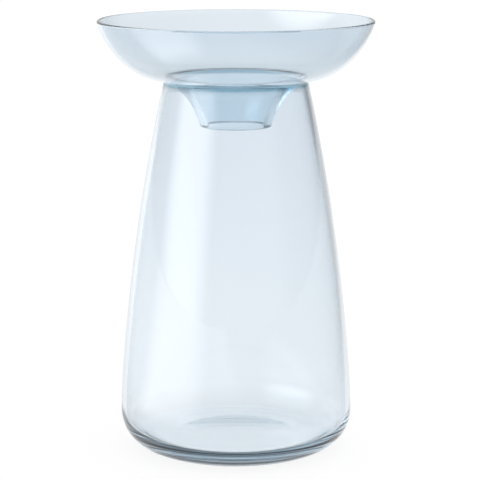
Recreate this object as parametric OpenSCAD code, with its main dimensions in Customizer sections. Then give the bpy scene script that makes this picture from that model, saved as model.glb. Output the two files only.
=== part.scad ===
// Hyacinth forcing vase. A tapered vase of clear pale blue glass holds the water, and a bulb
// bowl sits on its lip. The bowl's floor dips into a funnel, so the bulb stays dry while its
// roots reach down through the tip. The bowl lifts straight out to change the water.
// Both pieces are turned shapes: each is one outline, swept round the upright axis.
// Origin: the middle of the foot, on the surface that the vase stands on. +Z is up.

/* [Vase body] */
// Height of the vase body, from its foot to the top of its lip
body_h = 162.6; // [140:0.2:200]
// Widest diameter of the body, low down near its foot
belly_w = 102; // [90:1:122]
// Height at which the body is widest
belly_z = 17; // [14:0.5:24]
// How far above the widest place the side still stands upright
belly_hold = 16.5; // [5:0.5:30]
// Outside diameter at the mouth
mouth_w = 62.9; // [56:0.1:70]
// Angle at which the side leans in at the mouth
neck_lean = 12.7; // [6:0.1:18]
// How far below the mouth the side still leans so
neck_hold = 66; // [30:1:80]
// Thickness of the side wall
wall_t = 2.2; // [1.6:0.1:3.4]
// Thickness of the rounded, fire-polished lip
lip_t = 2.4; // [2.2:0.1:4.6]
// Height over which the wall swells into the lip
lip_swell = 2; // [1:0.5:12]

/* [Vase foot] */
// Diameter of the flat underside, out to where its corner starts
foot_w = 70; // [60:1:80]
// How full the thick outer corner is, as a share of a square one
foot_fullness = 0.56; // [0.45:0.01:0.7]
// Depth of the shallow hollow under the foot
punt_h = 0.8; // [0.3:0.1:2]
// Diameter of that hollow
punt_w = 54; // [30:1:58]
// Thickness of the glass at the middle of the foot
floor_t = 5.6; // [4:0.2:12]
// Diameter of the level floor inside
floor_w = 76; // [50:1:80]
// How far above the widest place the inside starts to round in to the floor
heel_rise = 0.5; // [0.5:0.5:16]
// How full that inner corner is, as a share of a square one
heel_fullness = 0.62; // [0.4:0.01:0.8]

/* [Bulb bowl] */
// Diameter of the bowl over its rim
rim_w = 120; // [100:1:140]
// Height of the rim above the lip of the vase
rim_rise = 26; // [20:0.2:36]
// Angle from upright of the bowl's side at its rim
rim_flare = 14; // [4:1:24]
// How far below the rim the side still stands so
rim_hold = 5.8; // [3:0.2:14]
// How far out past the lip the underside stays level
floor_reach = 19; // [8:0.5:22]
// Thickness of the bowl at its rim
rim_t = 1.7; // [1.2:0.1:2.6]
// Thickness of the bowl where it rests on the lip
seat_t = 1.3; // [1.2:0.1:3.4]

/* [Funnel] */
// Depth of the funnel's open tip below the lip of the vase
tip_drop = 20.2; // [14:0.2:40]
// Outside diameter of the tip
tip_w = 31; // [26:0.5:36]
// Thickness of the funnel at its tip
tip_t = 3.2; // [2:0.1:4.4]
// Radius that takes the sharpness off the tip's two edges
tip_round = 0.5; // [0.2:0.1:0.9]
// Angle from upright of the funnel's wall at its tip
tip_flare = 15; // [6:0.2:18]
// How far above the tip the wall still stands so
tip_hold = 13.5; // [6:0.1:18]
// How far in from the lip the underside stays level
seat_reach = 2; // [1:0.2:5]

/* [Fit] */
// Gap between the lip of the vase and the bowl that rests on it
seat_gap = 0.2; // [0.1:0.05:0.4]

/* [Hidden] */
$fn = 144;
long_steps = 28;
short_steps = 14;
edge_steps = 10;
tip_steps = 4;
glass_blue = [0.70, 0.82, 0.89, 0.45];
bowl_blue = [0.74, 0.84, 0.90, 0.45];

// A point of an outline is [radius, height]. A direction is given by its angle from upright,
// which is positive where the outline leans outwards.
function toward(angle) = [sin(angle), cos(angle)];

// A smooth curve from p to s, which leaves p towards q and comes to s from r
function bezier(p, q, r, s, t) =
    pow(1 - t, 3) * p + 3 * t * pow(1 - t, 2) * q + 3 * t * t * (1 - t) * r + pow(t, 3) * s;
function curve(p, q, r, s, steps) = [for (i = [0:steps]) bezier(p, q, r, s, i / steps)];

// A round stretch about a middle, from one direction to another
function rounded(middle, radius, from, to, steps) =
    [for (i = [0:steps]) middle + radius * toward(from + (to - from) * i / steps)];

// The unit normal on the left of an outline, at its point i
function left_of(line, i) =
    let (ahead = line[min(i + 1, len(line) - 1)], behind = line[max(i - 1, 0)],
         along = ahead - behind)
    [-along[1], along[0]] / norm(along);

// The inner face of a wall whose outer face is line, and whose thickness goes from t0 to t1
function inner_face(line, t0, t1) =
    let (last = len(line) - 1)
    [for (i = [0:last]) line[i] + (t0 + (t1 - t0) * i / last) * left_of(line, i)];

function backwards(line) = [for (i = [len(line) - 1:-1:0]) line[i]];
function after_first(line) = [for (i = [1:len(line) - 1]) line[i]];

// Two stretches of outline, of which the second starts where the first ends
function joined(a, b) = concat(a, after_first(b));

module turned(outline) {
    rotate_extrude()
        polygon(outline);
}

// The lip is a round bead, and the side runs into its outer face
lip_r = lip_t / 2;
lip_mid = [mouth_w / 2 - lip_r, body_h - lip_r];
lip_bead = rounded(lip_mid, lip_r, 90 - neck_lean, -90 - neck_lean, edge_steps);

belly = [belly_w / 2, belly_z];
foot_edge = [foot_w / 2, 0];
body_side = curve(belly, belly + belly_hold * toward(0),
                  lip_bead[0] - neck_hold * toward(-neck_lean), lip_bead[0], long_steps);
foot_corner = curve(foot_edge, foot_edge + [foot_fullness * (belly[0] - foot_edge[0]), 0],
                    belly - [0, foot_fullness * belly_z], belly, short_steps);
punt = [for (i = [0:edge_steps]) [punt_w / 2 * i / edge_steps,
                                  punt_h * (1 - pow(i / edge_steps, 2))]];

// Inside, the wall keeps its thickness between the rounded heel and the swelling lip
wall_inside = [for (p = inner_face(body_side, wall_t, wall_t))
               if (p[1] > belly_z + heel_rise && p[1] < lip_mid[1] - lip_swell) p];
wall_low = wall_inside[0];
wall_high = wall_inside[len(wall_inside) - 1];
lip_in = lip_bead[edge_steps];
swell_hold = lip_swell / 2 * toward(-neck_lean);
lip_inside = curve(wall_high, wall_high + swell_hold, lip_in - swell_hold, lip_in, edge_steps);

floor_edge = [floor_w / 2, punt_h + floor_t];
floor_middle = [0, floor_edge[1]];
heel = curve(floor_edge, floor_edge + [heel_fullness * (wall_low[0] - floor_edge[0]), 0],
             wall_low - [0, heel_fullness * (wall_low[1] - floor_edge[1])], wall_low,
             short_steps);

module vase_body() {
    outside = joined(concat(punt, foot_corner), joined(body_side, lip_bead));
    inside = joined(heel, joined(wall_inside, lip_inside));
    color(glass_blue)
        turned(joined(outside, concat(backwards(inside), [floor_middle])));
}

// The bowl rests on the crown of the lip's bead
seat = [lip_mid[0], body_h + seat_gap];
tip = [tip_w / 2, body_h - tip_drop];
rim_mid = [rim_w / 2 - rim_t / 2, body_h + rim_rise - rim_t / 2];
rim_edge = rounded(rim_mid, rim_t / 2, 90 + rim_flare, rim_flare - 90, edge_steps);

funnel_under = curve(tip, tip + tip_hold * toward(tip_flare),
                     seat - [seat_reach, 0], seat, long_steps);
bowl_under = curve(seat, seat + [floor_reach, 0],
                   rim_edge[0] - rim_hold * toward(rim_flare), rim_edge[0], long_steps);
funnel_inside = inner_face(funnel_under, tip_t, seat_t);
bowl_inside = inner_face(bowl_under, seat_t, rim_t);

// The tip is cut level, and its two edges are eased. Each round touches the cut and a wall.
tip_in = tip - [tip_t / cos(tip_flare), 0];
tip_in_mid = tip_in + tip_round * [(1 + sin(tip_flare)) / cos(tip_flare), 1];
tip_out_mid = tip - tip_round * [(1 - sin(tip_flare)) / cos(tip_flare), -1];
tip_edge = concat(rounded(tip_in_mid, tip_round, tip_flare + 270, 180, tip_steps),
                  rounded(tip_out_mid, tip_round, 180, tip_flare + 90, tip_steps));

module bulb_bowl() {
    under = joined(funnel_under, joined(bowl_under, rim_edge));
    inside = joined(funnel_inside, bowl_inside);
    color(bowl_blue)
        turned(concat(tip_edge, after_first(under), backwards(after_first(inside))));
}

vase_body();
bulb_bowl();
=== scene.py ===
# %% [markdown]
# # A hyacinth forcing vase, modelled as it is turned
#
# The real object is two loose pieces of clear, pale blue glass. The vase holds the water. The
# bulb bowl rests on its lip, and its floor dips into a funnel that hangs in the mouth, so the
# bulb stays dry above while its roots reach the water.
#
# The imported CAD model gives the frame: where each piece is, how big it is and how it moves. It
# is made of flat facets, which glass would show as ripples, so both pieces are modelled again
# here, in the same place and size, with hundreds of fine steps round the axis.

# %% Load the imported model
import math

import bmesh
import bpy
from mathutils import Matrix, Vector
from mathutils.geometry import interpolate_bezier


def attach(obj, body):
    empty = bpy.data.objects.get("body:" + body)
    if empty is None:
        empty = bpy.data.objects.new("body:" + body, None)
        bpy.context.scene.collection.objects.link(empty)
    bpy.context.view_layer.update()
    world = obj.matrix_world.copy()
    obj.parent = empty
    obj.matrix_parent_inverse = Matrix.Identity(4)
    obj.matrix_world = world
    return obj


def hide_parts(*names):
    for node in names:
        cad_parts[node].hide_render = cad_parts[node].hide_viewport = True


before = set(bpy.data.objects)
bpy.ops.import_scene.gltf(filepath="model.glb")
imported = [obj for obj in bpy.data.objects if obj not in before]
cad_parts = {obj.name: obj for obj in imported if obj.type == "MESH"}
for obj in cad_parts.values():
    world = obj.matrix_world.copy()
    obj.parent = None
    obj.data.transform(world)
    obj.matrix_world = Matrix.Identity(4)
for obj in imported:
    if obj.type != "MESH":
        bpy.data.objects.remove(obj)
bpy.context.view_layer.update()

# %% [markdown]
# ## Outlines in millimetres
#
# A blown or pressed vessel is a turned shape: everything about it is in one half section. So
# each piece starts as an outline of points (radius, height). It could be traced by eye, but a
# glass maker thinks in tangents: the side stands upright at the belly, leans in by so many
# degrees at the neck, and is level where it meets the floor. A Bezier curve says just that. Its
# two handles are the directions at its ends, and their lengths say how long it holds them.

# %% Helpers for an outline
def toward(angle):
    """A step of 1 mm. The angle is from upright, and positive where it leans outwards."""
    return Vector((math.sin(math.radians(angle)), math.cos(math.radians(angle))))


def level(reach):
    return Vector((reach, 0))


def upright(rise):
    return Vector((0, rise))


def swept(start, handle_out, handle_in, end, steps):
    """A smooth line from start to end. The handles are offsets from its two ends."""
    return interpolate_bezier(start, start + handle_out, end + handle_in, end, steps + 1)


def rounded(middle, radius, first, last, steps):
    """A round stretch about a middle, from one direction to another."""
    return [middle + radius * toward(first + (last - first) * i / steps)
            for i in range(steps + 1)]


def inner_face(line, first_t, last_t):
    """The inside of a wall whose outside is line, and whose thickness goes evenly from one
    value to the other."""
    inside = []
    for i, point in enumerate(line):
        along = line[min(i + 1, len(line) - 1)] - line[max(i - 1, 0)]
        left = Vector((-along.y, along.x)).normalized()
        share = i / (len(line) - 1)
        inside.append(point + (first_t + (last_t - first_t) * share) * left)
    return inside


# %% [markdown]
# ## Drawing and turning
#
# There are three ways to make a turned piece. A Screw modifier on a drawn edge is quick. A
# circle can be extruded and scaled ring by ring. Here the outline is drawn as by hand in edit
# mode, one extruded point after the other, and then spun once round the axis. That keeps the
# thick foot, the thin wall and the rounded lip in one closed skin, which is what light needs
# to bend through glass: it goes in by one face and out by another.

# %% Draw an outline and spin it
MM = 0.001
TURN_STEPS = 240        # 1.5 degrees each, so a belly 102 mm wide is round to 0.005 mm


def draw_outline(name, points):
    """One corner of a plane is kept, moved to the first point and extruded to the others."""
    bpy.ops.object.select_all(action="DESELECT")
    bpy.ops.mesh.primitive_plane_add(size=MM, location=(0, 0, 0))
    piece = bpy.context.object
    piece.name = piece.data.name = name
    bpy.ops.object.mode_set(mode="EDIT")
    bpy.ops.mesh.select_all(action="SELECT")
    bpy.ops.mesh.merge(type="CENTER")
    bpy.ops.transform.translate(value=(points[0].x * MM, 0, points[0].y * MM))
    for here, there in zip(points, points[1:]):
        step = (there - here) * MM
        bpy.ops.mesh.extrude_region_move(TRANSFORM_OT_translate={"value": (step.x, 0, step.y)})
    bpy.ops.object.mode_set(mode="OBJECT")
    return piece


def turn(piece):
    """Spins the outline round the upright axis, closes its seam and its poles, and turns its
    faces outwards."""
    bpy.ops.object.mode_set(mode="EDIT")
    bpy.ops.mesh.select_all(action="SELECT")
    bpy.ops.mesh.spin(steps=TURN_STEPS, angle=math.tau, center=(0, 0, 0), axis=(0, 0, 1))
    bpy.ops.mesh.select_all(action="SELECT")
    bpy.ops.mesh.remove_doubles(threshold=0.001 * MM)
    bpy.ops.mesh.normals_make_consistent(inside=False)
    bpy.ops.object.mode_set(mode="OBJECT")
    bpy.ops.object.shade_smooth()


def report(piece):
    """Prints what a lesson should check: the skin is closed, and its volume is positive."""
    skin = bmesh.new()
    skin.from_mesh(piece.data)
    open_edges = sum(not edge.is_manifold for edge in skin.edges)
    volume = skin.calc_volume(signed=True) * 1e6
    triangles = sum(len(face.verts) - 2 for face in skin.faces)
    skin.free()
    print(f"{piece.name}: {triangles} triangles, {open_edges} open edges, {volume:.1f} cm3")


# %% [markdown]
# ## The vase body
#
# The body is blown into a mould. Its foot is thick, its outer corner is full and round, and the
# side rises from its widest place, low down, and leans in to a narrow neck. The lip is melted
# round in a flame. The line runs under the foot from the middle, up the outside, over the lip
# and down the inside to the floor.

# %% Outside of the vase body
body_h, mouth_w, lip_t = 162.6, 62.9, 2.4
neck_lean, neck_hold = -12.7, 66
lip_r = lip_t / 2
lip_mid = Vector((mouth_w / 2 - lip_r, body_h - lip_r))
lip_bead = rounded(lip_mid, lip_r, 90 + neck_lean, -90 + neck_lean, 24)

belly_w, belly_z, belly_hold = 102, 17, 16.5
belly = Vector((belly_w / 2, belly_z))
side = swept(belly, upright(belly_hold), -neck_hold * toward(neck_lean), lip_bead[0], 64)

foot_w, foot_fullness = 70, 0.56
foot_edge = level(foot_w / 2)
foot_corner = swept(foot_edge, level(foot_fullness * (belly.x - foot_edge.x)),
                    upright(-foot_fullness * belly.y), belly, 30)

punt_w, punt_h, punt_steps = 54, 0.8, 18
punt = [Vector((punt_w / 2 * i / punt_steps, punt_h * (1 - (i / punt_steps) ** 2)))
        for i in range(punt_steps + 1)]
outside = punt + foot_corner + side[1:] + lip_bead[1:]
print("outside of the vase:", len(outside), "points")

# %% Inside of the vase body
wall_t, lip_swell, heel_rise = 2.2, 2, 0.5
wall = [point for point in inner_face(side, wall_t, wall_t)
        if belly.y + heel_rise < point.y < lip_mid.y - lip_swell]
lip_inside = swept(wall[-1], lip_swell / 2 * toward(neck_lean),
                   -lip_swell / 2 * toward(neck_lean), lip_bead[-1], 10)

floor_w, floor_t, heel_fullness = 76, 5.6, 0.62
floor_edge = Vector((floor_w / 2, punt_h + floor_t))
heel = swept(floor_edge, level(heel_fullness * (wall[0].x - floor_edge.x)),
             upright(-heel_fullness * (wall[0].y - floor_edge.y)), wall[0], 30)
inside = heel + wall[1:] + lip_inside[1:]
print("inside of the vase:", len(inside), "points")

# %% Turn the vase body
vase_line = outside + inside[::-1][1:] + [upright(floor_edge.y)]
vase_body = draw_outline("glass_vase", vase_line)
turn(vase_body)
report(vase_body)
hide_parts("vase_body")
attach(vase_body, "vase_body")

# %% [markdown]
# ## The bulb bowl
#
# The bowl is thinner. Its underside is one S-shaped sweep: out from the funnel's tip, level
# where it crosses the lip, and up to a plain rounded rim. The inside is the same line, moved in
# by a thickness that goes from 3.2 mm at the tip to 1.3 mm at the lip and 1.7 mm at the rim.
# The tip is cut level, with both edges eased so that they don't chip.

# %% Outside of the bowl
tip_t, seat_t, rim_t = 3.2, 1.3, 1.7
seat_gap, seat_reach = 0.2, 2
seat = Vector((lip_mid.x, body_h + seat_gap))

tip_w, tip_drop, tip_flare, tip_hold = 31, 20.2, 15, 13.5
tip = Vector((tip_w / 2, body_h - tip_drop))
funnel_under = swept(tip, tip_hold * toward(tip_flare), level(-seat_reach), seat, 44)

rim_w, rim_rise, rim_flare, rim_hold, floor_reach = 120, 26, 14, 5.8, 19
rim_r = rim_t / 2
rim_mid = Vector((rim_w / 2 - rim_r, body_h + rim_rise - rim_r))
rim_edge = rounded(rim_mid, rim_r, 90 + rim_flare, -90 + rim_flare, 18)
bowl_under = swept(seat, level(floor_reach), -rim_hold * toward(rim_flare), rim_edge[0], 54)

# %% Inside of the bowl and the eased tip
funnel_inside = inner_face(funnel_under, tip_t, seat_t)
bowl_inside = inner_face(bowl_under, seat_t, rim_t)

tip_round = 0.5
lean_cos, lean_sin = toward(tip_flare).y, toward(tip_flare).x
tip_in = tip - level(tip_t / lean_cos)
tip_in_mid = tip_in + tip_round * Vector(((1 + lean_sin) / lean_cos, 1))
tip_out_mid = tip - tip_round * Vector(((1 - lean_sin) / lean_cos, -1))
tip_edge = (rounded(tip_in_mid, tip_round, tip_flare + 270, 180, 6)
            + rounded(tip_out_mid, tip_round, 180, tip_flare + 90, 6))
print("open tip inside:", round(2 * tip_in.x, 1), "mm wide")

# %% Turn the bowl
bowl_line = (tip_edge + funnel_under[1:] + bowl_under[1:] + rim_edge[1:]
             + bowl_inside[::-1][1:] + funnel_inside[::-1][1:-1])
bulb_bowl = draw_outline("glass_bowl", bowl_line + bowl_line[:1])
turn(bulb_bowl)
report(bulb_bowl)
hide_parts("bulb_bowl")
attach(bulb_bowl, "bulb_bowl")

# %% [markdown]
# ## Clear glass
#
# Both pieces are soda-lime glass with a breath of blue in it. Clear glass has no colour of its
# own on its surface. What the eye sees is the surroundings, bent twice by each wall, a little
# mirror image on each face, and a tint that grows with the way the light goes through. So the
# shader is a Principled BSDF with full transmission and no roughness, over a Volume Absorption.

# %% Helpers for materials
def to_linear(hex_colour):
    """An sRGB colour, as a paint program writes it, in the linear values that light adds in."""
    parts = [int(hex_colour[i:i + 2], 16) / 255 for i in (1, 3, 5)]
    return [p / 12.92 if p <= 0.04045 else ((p + 0.055) / 1.055) ** 2.4 for p in parts] + [1]


def add_node(tree, kind, settings=None, links=None):
    """Adds a node. A setting goes to the input of that name or number, or else to the node
    itself. A link comes from a socket, or from the first output of a node."""
    node = tree.nodes.new(kind)
    for name, value in (settings or {}).items():
        if isinstance(name, int) or name in node.inputs:
            node.inputs[name].default_value = value
        else:
            setattr(node, name, value)
    for name, source in (links or {}).items():
        tree.links.new(getattr(source, "outputs", [source])[0], node.inputs[name])
    return node


def new_material(name):
    material = bpy.data.materials.new(name)
    material.use_nodes = True
    material.node_tree.nodes.clear()
    return material


# A Map Range with these settings goes softly from one value to the other.
SOFTLY = {"interpolation_type": "SMOOTHSTEP"}

# %% [markdown]
# The tint of a thin wall is set on the surface, where light goes in and out. The deeper tint
# of a long way, through the heel and the rims, is set in the volume. Pressed glass is never
# quite even: it is deeper in colour where the wall is thicker or is seen edge on, and light
# that runs round the lip gathers the most. Its faces have faint waves some centimetres long,
# which only a moving highlight gives away. Polished glass has no roughness, and soda-lime
# glass bends light with an IOR of about 1.5.

# %% Soda-lime glass
IOR = 1.5
TOP_MM = 190            # the tints are given up to this height
EDGE_FALL = 5           # the higher, the thinner the deep line along an edge
FOOT_MM, FOOT_SHARE = (6, 14), 0.4      # it is weaker in the foot, between these heights
WAVE_MM = 30            # from crest to crest
WAVE_HEIGHT_MM = 0.02
WAY_MM = 100
HEADROOM = 1.05         # keeps every part of the absorption's colour above nothing


def soda_lime(name, wall_tints, edge_tint, way_tint):
    """Clear glass. wall_tints are pairs of a height in mm and the tint of a wall there. A wall
    goes to edge_tint where it is seen edge on, less so in the foot. way_tint is what is left
    of white light after WAY_MM inside it."""
    material = new_material(name)
    tree = material.node_tree
    place = add_node(tree, "ShaderNodeTexCoord").outputs["Object"]
    height = add_node(tree, "ShaderNodeSeparateXYZ", links={0: place}).outputs["Z"]
    up = add_node(tree, "ShaderNodeMapRange", {"From Max": TOP_MM * MM}, {"Value": height})
    tint = add_node(tree, "ShaderNodeValToRGB", links={"Fac": up})
    stops = tint.color_ramp.elements
    for i, (stop_height, colour) in enumerate(wall_tints):
        stop = stops[i] if i < 2 else stops.new(stop_height / TOP_MM)
        stop.position = stop_height / TOP_MM
        stop.color = to_linear(colour)

    facing = add_node(tree, "ShaderNodeLayerWeight", {"Blend": 0.5}).outputs["Facing"]
    edge_on = add_node(tree, "ShaderNodeMath", {"operation": "POWER", 1: EDGE_FALL},
                       {0: facing})
    above_foot = add_node(tree, "ShaderNodeMapRange", SOFTLY | {
        "From Min": FOOT_MM[0] * MM, "From Max": FOOT_MM[1] * MM,
        "To Min": FOOT_SHARE, "To Max": 1}, {"Value": height})
    share = add_node(tree, "ShaderNodeMath", {"operation": "MULTIPLY"},
                     {0: edge_on, 1: above_foot})
    deeper = add_node(tree, "ShaderNodeMix", {"data_type": "RGBA", 7: to_linear(edge_tint)},
                      {0: share, 6: tint})

    waves = add_node(tree, "ShaderNodeTexNoise", {
        "Scale": 1 / (WAVE_MM * MM), "Detail": 1.0}, {"Vector": place})
    relief = add_node(tree, "ShaderNodeBump", {
        "Strength": 1.0, "Distance": WAVE_HEIGHT_MM * MM}, {"Height": waves})
    surface = add_node(tree, "ShaderNodeBsdfPrincipled", {
        "Roughness": 0.0, "IOR": IOR, "Transmission Weight": 1.0},
        {"Base Color": deeper.outputs[2], "Normal": relief})

    taken = [-math.log(part) / (WAY_MM * MM) for part in to_linear(way_tint)[:3]]
    density = max(taken) * HEADROOM
    body = add_node(tree, "ShaderNodeVolumeAbsorption", {
        "Color": [1 - part / density for part in taken] + [1], "Density": density})
    add_node(tree, "ShaderNodeOutputMaterial", links={"Surface": surface, "Volume": body})
    print(f"{name}: red light left after {WAY_MM} mm, {math.exp(-taken[0] * WAY_MM * MM):.2f}")
    return material


vase_glass = soda_lime(
    "soda_lime_glass_pale_blue",
    [(0, "#F5F9FC"), (50, "#F4F8FB"), (140, "#EEF3F8"), (160.2, "#EDF3F8"),
     (160.7, "#A2C2D0")],
    edge_tint="#6E93AB", way_tint="#A4BAC8")
bowl_glass = soda_lime(
    "soda_lime_glass_thin_blue",
    [(0, "#EAF4F9"), (158, "#EAF4F9"), (163, "#F1F7FB"), (170, "#EDF4F9"), (178, "#E5EEF5")],
    edge_tint="#A4C0D2", way_tint="#C4D0D8")
vase_body.data.materials.append(vase_glass)
bulb_bowl.data.materials.append(bowl_glass)

# %% [markdown]
# ## The floor
#
# Clear glass is often shown on a white sweep that is lit from all round, so that it burns out
# to plain white. Here that is a wide pale disc. A small part of its brightness is matt paint
# that the light falls on, which keeps the vase's soft shadow. The rest is its own, and only
# the camera and the glass see it, so it adds no light to the object.

# %% A floor for the camera and the glass
FLOOR_RADIUS, FLOOR_Z = 4, -0.0003      # just under the foot, and past the frame's corners
FLOOR_CORNERS = 96

bpy.ops.object.select_all(action="DESELECT")
bpy.ops.mesh.primitive_circle_add(vertices=FLOOR_CORNERS, radius=FLOOR_RADIUS, fill_type="NGON",
                                  location=(0, 0, FLOOR_Z))
floor = bpy.context.object
floor.name = "floor"
sweep = new_material("matt_white_sweep")
floor.data.materials.append(sweep)
print("floor:", FLOOR_RADIUS, "m in radius")

# %% [markdown]
# What the glass sees isn't even. The floor's glow carries painted light: it is a little brighter
# under the foot, as if light gathered there through the glass, and on the left. It carries
# painted shade on the right, which draws the edges and the funnel's wall on that side. Each
# change goes softly over a few centimetres, so that it leaves no line.

# %% What the glass sees of the floor, with painted light and shade
FLOOR_GLOW = 0.87
# painted light: a brighter glow under the foot, seen only by the glass
PAINTED_LIGHT_UNDER_FOOT, FOOT_FADE = 0.14, (0.030, 0.058)        # from the axis, in metres
# painted light on the left and painted shade on the right of the floor's glow
PAINTED_LIGHT_LEFT, PAINTED_SHADE_RIGHT, SIDE_FADE = 1.15, 0.62, (0.06, 0.20)
TURNED_TO_CAMERA = -0.25        # how far the two sides reach round to the front


def seen_by_glass(tree):
    """1 for a ray that comes off or through glass, and 0 for any other."""
    rays = add_node(tree, "ShaderNodeLightPath").outputs
    return add_node(tree, "ShaderNodeMath", {"operation": "MAXIMUM"},
                    {0: rays["Is Glossy Ray"], 1: rays["Is Transmission Ray"]})


tree = sweep.node_tree
spot = add_node(tree, "ShaderNodeNewGeometry").outputs["Position"]
reach = add_node(tree, "ShaderNodeVectorMath", {"operation": "LENGTH"},
                 {0: spot}).outputs["Value"]
painted_light_under_foot = add_node(tree, "ShaderNodeMapRange", SOFTLY | {
    "From Min": FOOT_FADE[0], "From Max": FOOT_FADE[1], "To Min": PAINTED_LIGHT_UNDER_FOOT, "To Max": 0},
    {"Value": reach})
painted_side_masks = []
for side_x, share in ((1, PAINTED_SHADE_RIGHT), (-1, PAINTED_LIGHT_LEFT)):
    outward = add_node(tree, "ShaderNodeVectorMath", {
        "operation": "DOT_PRODUCT", 1: (side_x, TURNED_TO_CAMERA, 0)}, {0: spot})
    painted_side_masks.append(add_node(tree, "ShaderNodeMapRange", SOFTLY | {
        "From Min": SIDE_FADE[0], "From Max": SIDE_FADE[1], "To Min": 1, "To Max": share},
        {"Value": outward.outputs["Value"]}))
sides = add_node(tree, "ShaderNodeMath", {"operation": "MULTIPLY"},
                 {0: painted_side_masks[0], 1: painted_side_masks[1]})
# the floor's glow for the glass, with its painted light and painted shade
even = add_node(tree, "ShaderNodeMath", {"operation": "MULTIPLY_ADD", 1: FLOOR_GLOW},
                {0: sides, 2: painted_light_under_foot})
for_glass = add_node(tree, "ShaderNodeMath", {"operation": "MULTIPLY"},
                     {0: even, 1: seen_by_glass(tree)})
print("floor that the glass sees:", PAINTED_LIGHT_LEFT, "on the left,", PAINTED_SHADE_RIGHT, "on the right")

# %% [markdown]
# The lower wall stands upright, and the camera looks down on it, so what it mirrors is the floor
# in front. There the sweep's glow carries a painted pool of light, a pale painted reflection of
# the soft box that the next step hangs there.
# Only a reflection on the outside of the glass shows it, and it stays clear of the foot.

# %% The painted pool of light from the soft box
SOFT_BOX = 2.9
SOFT_BOX_WAY = Vector((-0.83, -0.41, 0.28)).normalized()
# a painted pool of light on the floor, seen only in outer reflections
PAINTED_POOL, PAINTED_POOL_EDGE = 0.85 * SOFT_BOX, (0.75, 0.96)     # cosines of the angle off that way
PAINTED_POOL_FADE = (0.09, 0.18)                            # from the axis, in metres

rays = add_node(tree, "ShaderNodeLightPath").outputs
mirrored = add_node(tree, "ShaderNodeMath", {"operation": "GREATER_THAN"},
                    {0: rays["Is Glossy Ray"], 1: rays["Is Transmission Ray"]})
spot_way = add_node(tree, "ShaderNodeVectorMath", {"operation": "NORMALIZE"}, {0: spot})
turned = add_node(tree, "ShaderNodeVectorMath", {
    "operation": "DOT_PRODUCT", 1: SOFT_BOX_WAY}, {0: spot_way}).outputs["Value"]
painted_pool = add_node(tree, "ShaderNodeMapRange", SOFTLY | {
    "From Min": PAINTED_POOL_EDGE[0], "From Max": PAINTED_POOL_EDGE[1], "To Min": 0, "To Max": PAINTED_POOL},
    {"Value": turned})
off_foot = add_node(tree, "ShaderNodeMapRange", SOFTLY | {
    "From Min": PAINTED_POOL_FADE[0], "From Max": PAINTED_POOL_FADE[1], "To Min": 0, "To Max": 1},
    {"Value": reach})
painted_pool_off_foot = add_node(tree, "ShaderNodeMath", {"operation": "MULTIPLY"},
                         {0: painted_pool, 1: off_foot})
painted_pool_seen = add_node(tree, "ShaderNodeMath", {"operation": "MULTIPLY"},
                     {0: painted_pool_off_foot, 1: mirrored})
print("pool of the soft box:", round(PAINTED_POOL, 2), "at its brightest")

# %% The floor's own light and its paint
FLOOR_PAINT = 0.20
for_camera = add_node(tree, "ShaderNodeMath", {"operation": "MULTIPLY", 1: FLOOR_GLOW},
                      {0: rays["Is Camera Ray"]})
plain = add_node(tree, "ShaderNodeMath", {"operation": "MAXIMUM"},
                 {0: for_glass, 1: for_camera})
# adds the painted pool of light to the floor's glow
strength = add_node(tree, "ShaderNodeMath", {"operation": "ADD"}, {0: plain, 1: painted_pool_seen})
glow = add_node(tree, "ShaderNodeEmission", links={"Strength": strength})
paint = add_node(tree, "ShaderNodeBsdfDiffuse", {"Color": [FLOOR_PAINT] * 3 + [1]})
both = add_node(tree, "ShaderNodeAddShader", links={0: paint, 1: glow})
add_node(tree, "ShaderNodeOutputMaterial", links={"Surface": both})
print("floor:", len(tree.nodes), "nodes")

# %% [markdown]
# ## Soft studio light
#
# Glass shows its shape only by what it bends and mirrors. So the studio isn't the same all
# round. An even pale wall stands behind the vase and in front of it. The one on the left is a
# little brighter. The one on the right is dimmer, and so is the ceiling: those two are what
# the edges, the lip and the heel draw their dark lines from. A wide soft box, in front on the
# left, puts a pale band down that side. The camera itself sees an even pale grey past the
# floor, and so does the matt paint.

# %% World and its walls
BACK_WALL, LEFT_WALL, RIGHT_WALL = 1.0, 1.15, 0.50
SIDE_X = 0.4                    # a side wall is at its full value this far from straight on
BACK_EDGE, FRONT_EDGE = (0.86, 0.96), (-0.8, -0.3)

world = bpy.data.worlds.new("studio")
bpy.context.scene.world = world
world.use_nodes = True
tree = world.node_tree
tree.nodes.clear()
looking = add_node(tree, "ShaderNodeTexCoord").outputs["Generated"]
axes = add_node(tree, "ShaderNodeSeparateXYZ", links={0: looking}).outputs
side_walls = add_node(tree, "ShaderNodeMapRange", SOFTLY | {
    "From Min": -SIDE_X, "From Max": SIDE_X,
    "To Min": LEFT_WALL - BACK_WALL, "To Max": RIGHT_WALL - BACK_WALL}, {"Value": axes["X"]})
off_back = add_node(tree, "ShaderNodeMapRange", SOFTLY | {
    "From Min": BACK_EDGE[0], "From Max": BACK_EDGE[1], "To Min": 1, "To Max": 0},
    {"Value": axes["Y"]})
off_front = add_node(tree, "ShaderNodeMapRange", SOFTLY | {
    "From Min": FRONT_EDGE[0], "From Max": FRONT_EDGE[1], "To Min": 0, "To Max": 1},
    {"Value": axes["Y"]})
beside = add_node(tree, "ShaderNodeMath", {"operation": "MULTIPLY"},
                  {0: off_back, 1: off_front})
walls = add_node(tree, "ShaderNodeMath", {"operation": "MULTIPLY_ADD", 2: BACK_WALL},
                 {0: side_walls, 1: beside})
print("walls: back", BACK_WALL, "left", LEFT_WALL, "right", RIGHT_WALL)

# %% Ceiling, soft box and background
CEILING, CEILING_EDGE = 0.42, (0.30, 0.55)
BOX_EDGE = (0.78, 0.99)         # cosines of the angle off its own way
PLAIN = 1.0                     # what is seen without glass

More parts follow.
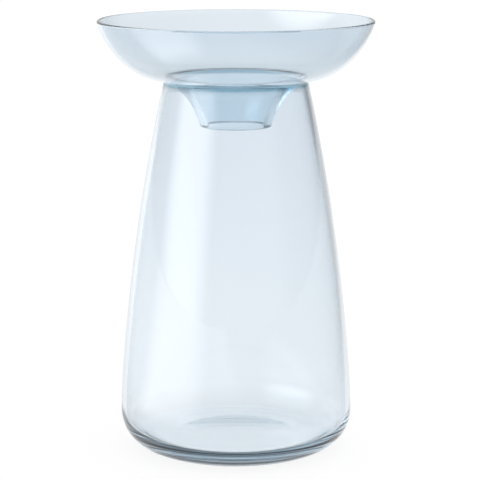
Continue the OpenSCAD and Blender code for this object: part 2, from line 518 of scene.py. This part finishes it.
below_ceiling = add_node(tree, "ShaderNodeMapRange", SOFTLY | {
    "From Min": CEILING_EDGE[0], "From Max": CEILING_EDGE[1], "To Min": 1, "To Max": CEILING},
    {"Value": axes["Z"]})
turned = add_node(tree, "ShaderNodeVectorMath", {
    "operation": "DOT_PRODUCT", 1: SOFT_BOX_WAY}, {0: looking}).outputs["Value"]
soft_box = add_node(tree, "ShaderNodeMapRange", SOFTLY | {
    "From Min": BOX_EDGE[0], "From Max": BOX_EDGE[1], "To Min": 0, "To Max": SOFT_BOX},
    {"Value": turned})
studio = add_node(tree, "ShaderNodeMath", {"operation": "MULTIPLY_ADD"},
                  {0: walls, 1: below_ceiling, 2: soft_box})
shown = add_node(tree, "ShaderNodeMix", {"data_type": "FLOAT", 2: PLAIN},
                 {0: seen_by_glass(tree), 3: studio})
sky = add_node(tree, "ShaderNodeBackground", links={"Strength": shown})
add_node(tree, "ShaderNodeOutputWorld", links={"Surface": sky})
print("studio:", len(tree.nodes), "nodes")

# %% [markdown]
# ## The camera
#
# The photograph is taken from about 0.9 m away, a little above the rim, with a long lens.

# %% Camera
PITCH = math.radians(10.74)
DISTANCE, LOOK_Z = 0.9013, 0.092
SENSOR_MM, LENS_MM = 36, 153.9
FRAME = 480             # pixels, across and down

camera = bpy.data.objects.new("camera", bpy.data.cameras.new("camera"))
bpy.context.collection.objects.link(camera)
camera.location = (0, -DISTANCE * math.cos(PITCH), LOOK_Z + DISTANCE * math.sin(PITCH))
camera.rotation_euler = (math.pi / 2 - PITCH, 0, 0)
camera.data.sensor_width = SENSOR_MM
camera.data.lens = LENS_MM
camera.data.shift_x = 4 / FRAME         # the vase stands 4 pixels left of the middle
bpy.context.scene.camera = camera
print("camera at", [round(part, 3) for part in camera.location])

# %% Render settings that glass needs
# Light that is caught inside a wall bounces dozens of times before it comes out.
BOUNCES = 96
scene = bpy.context.scene
scene.view_settings.view_transform = "Standard"
scene.cycles.max_bounces = BOUNCES
scene.cycles.glossy_bounces = BOUNCES
scene.cycles.transmission_bounces = BOUNCES
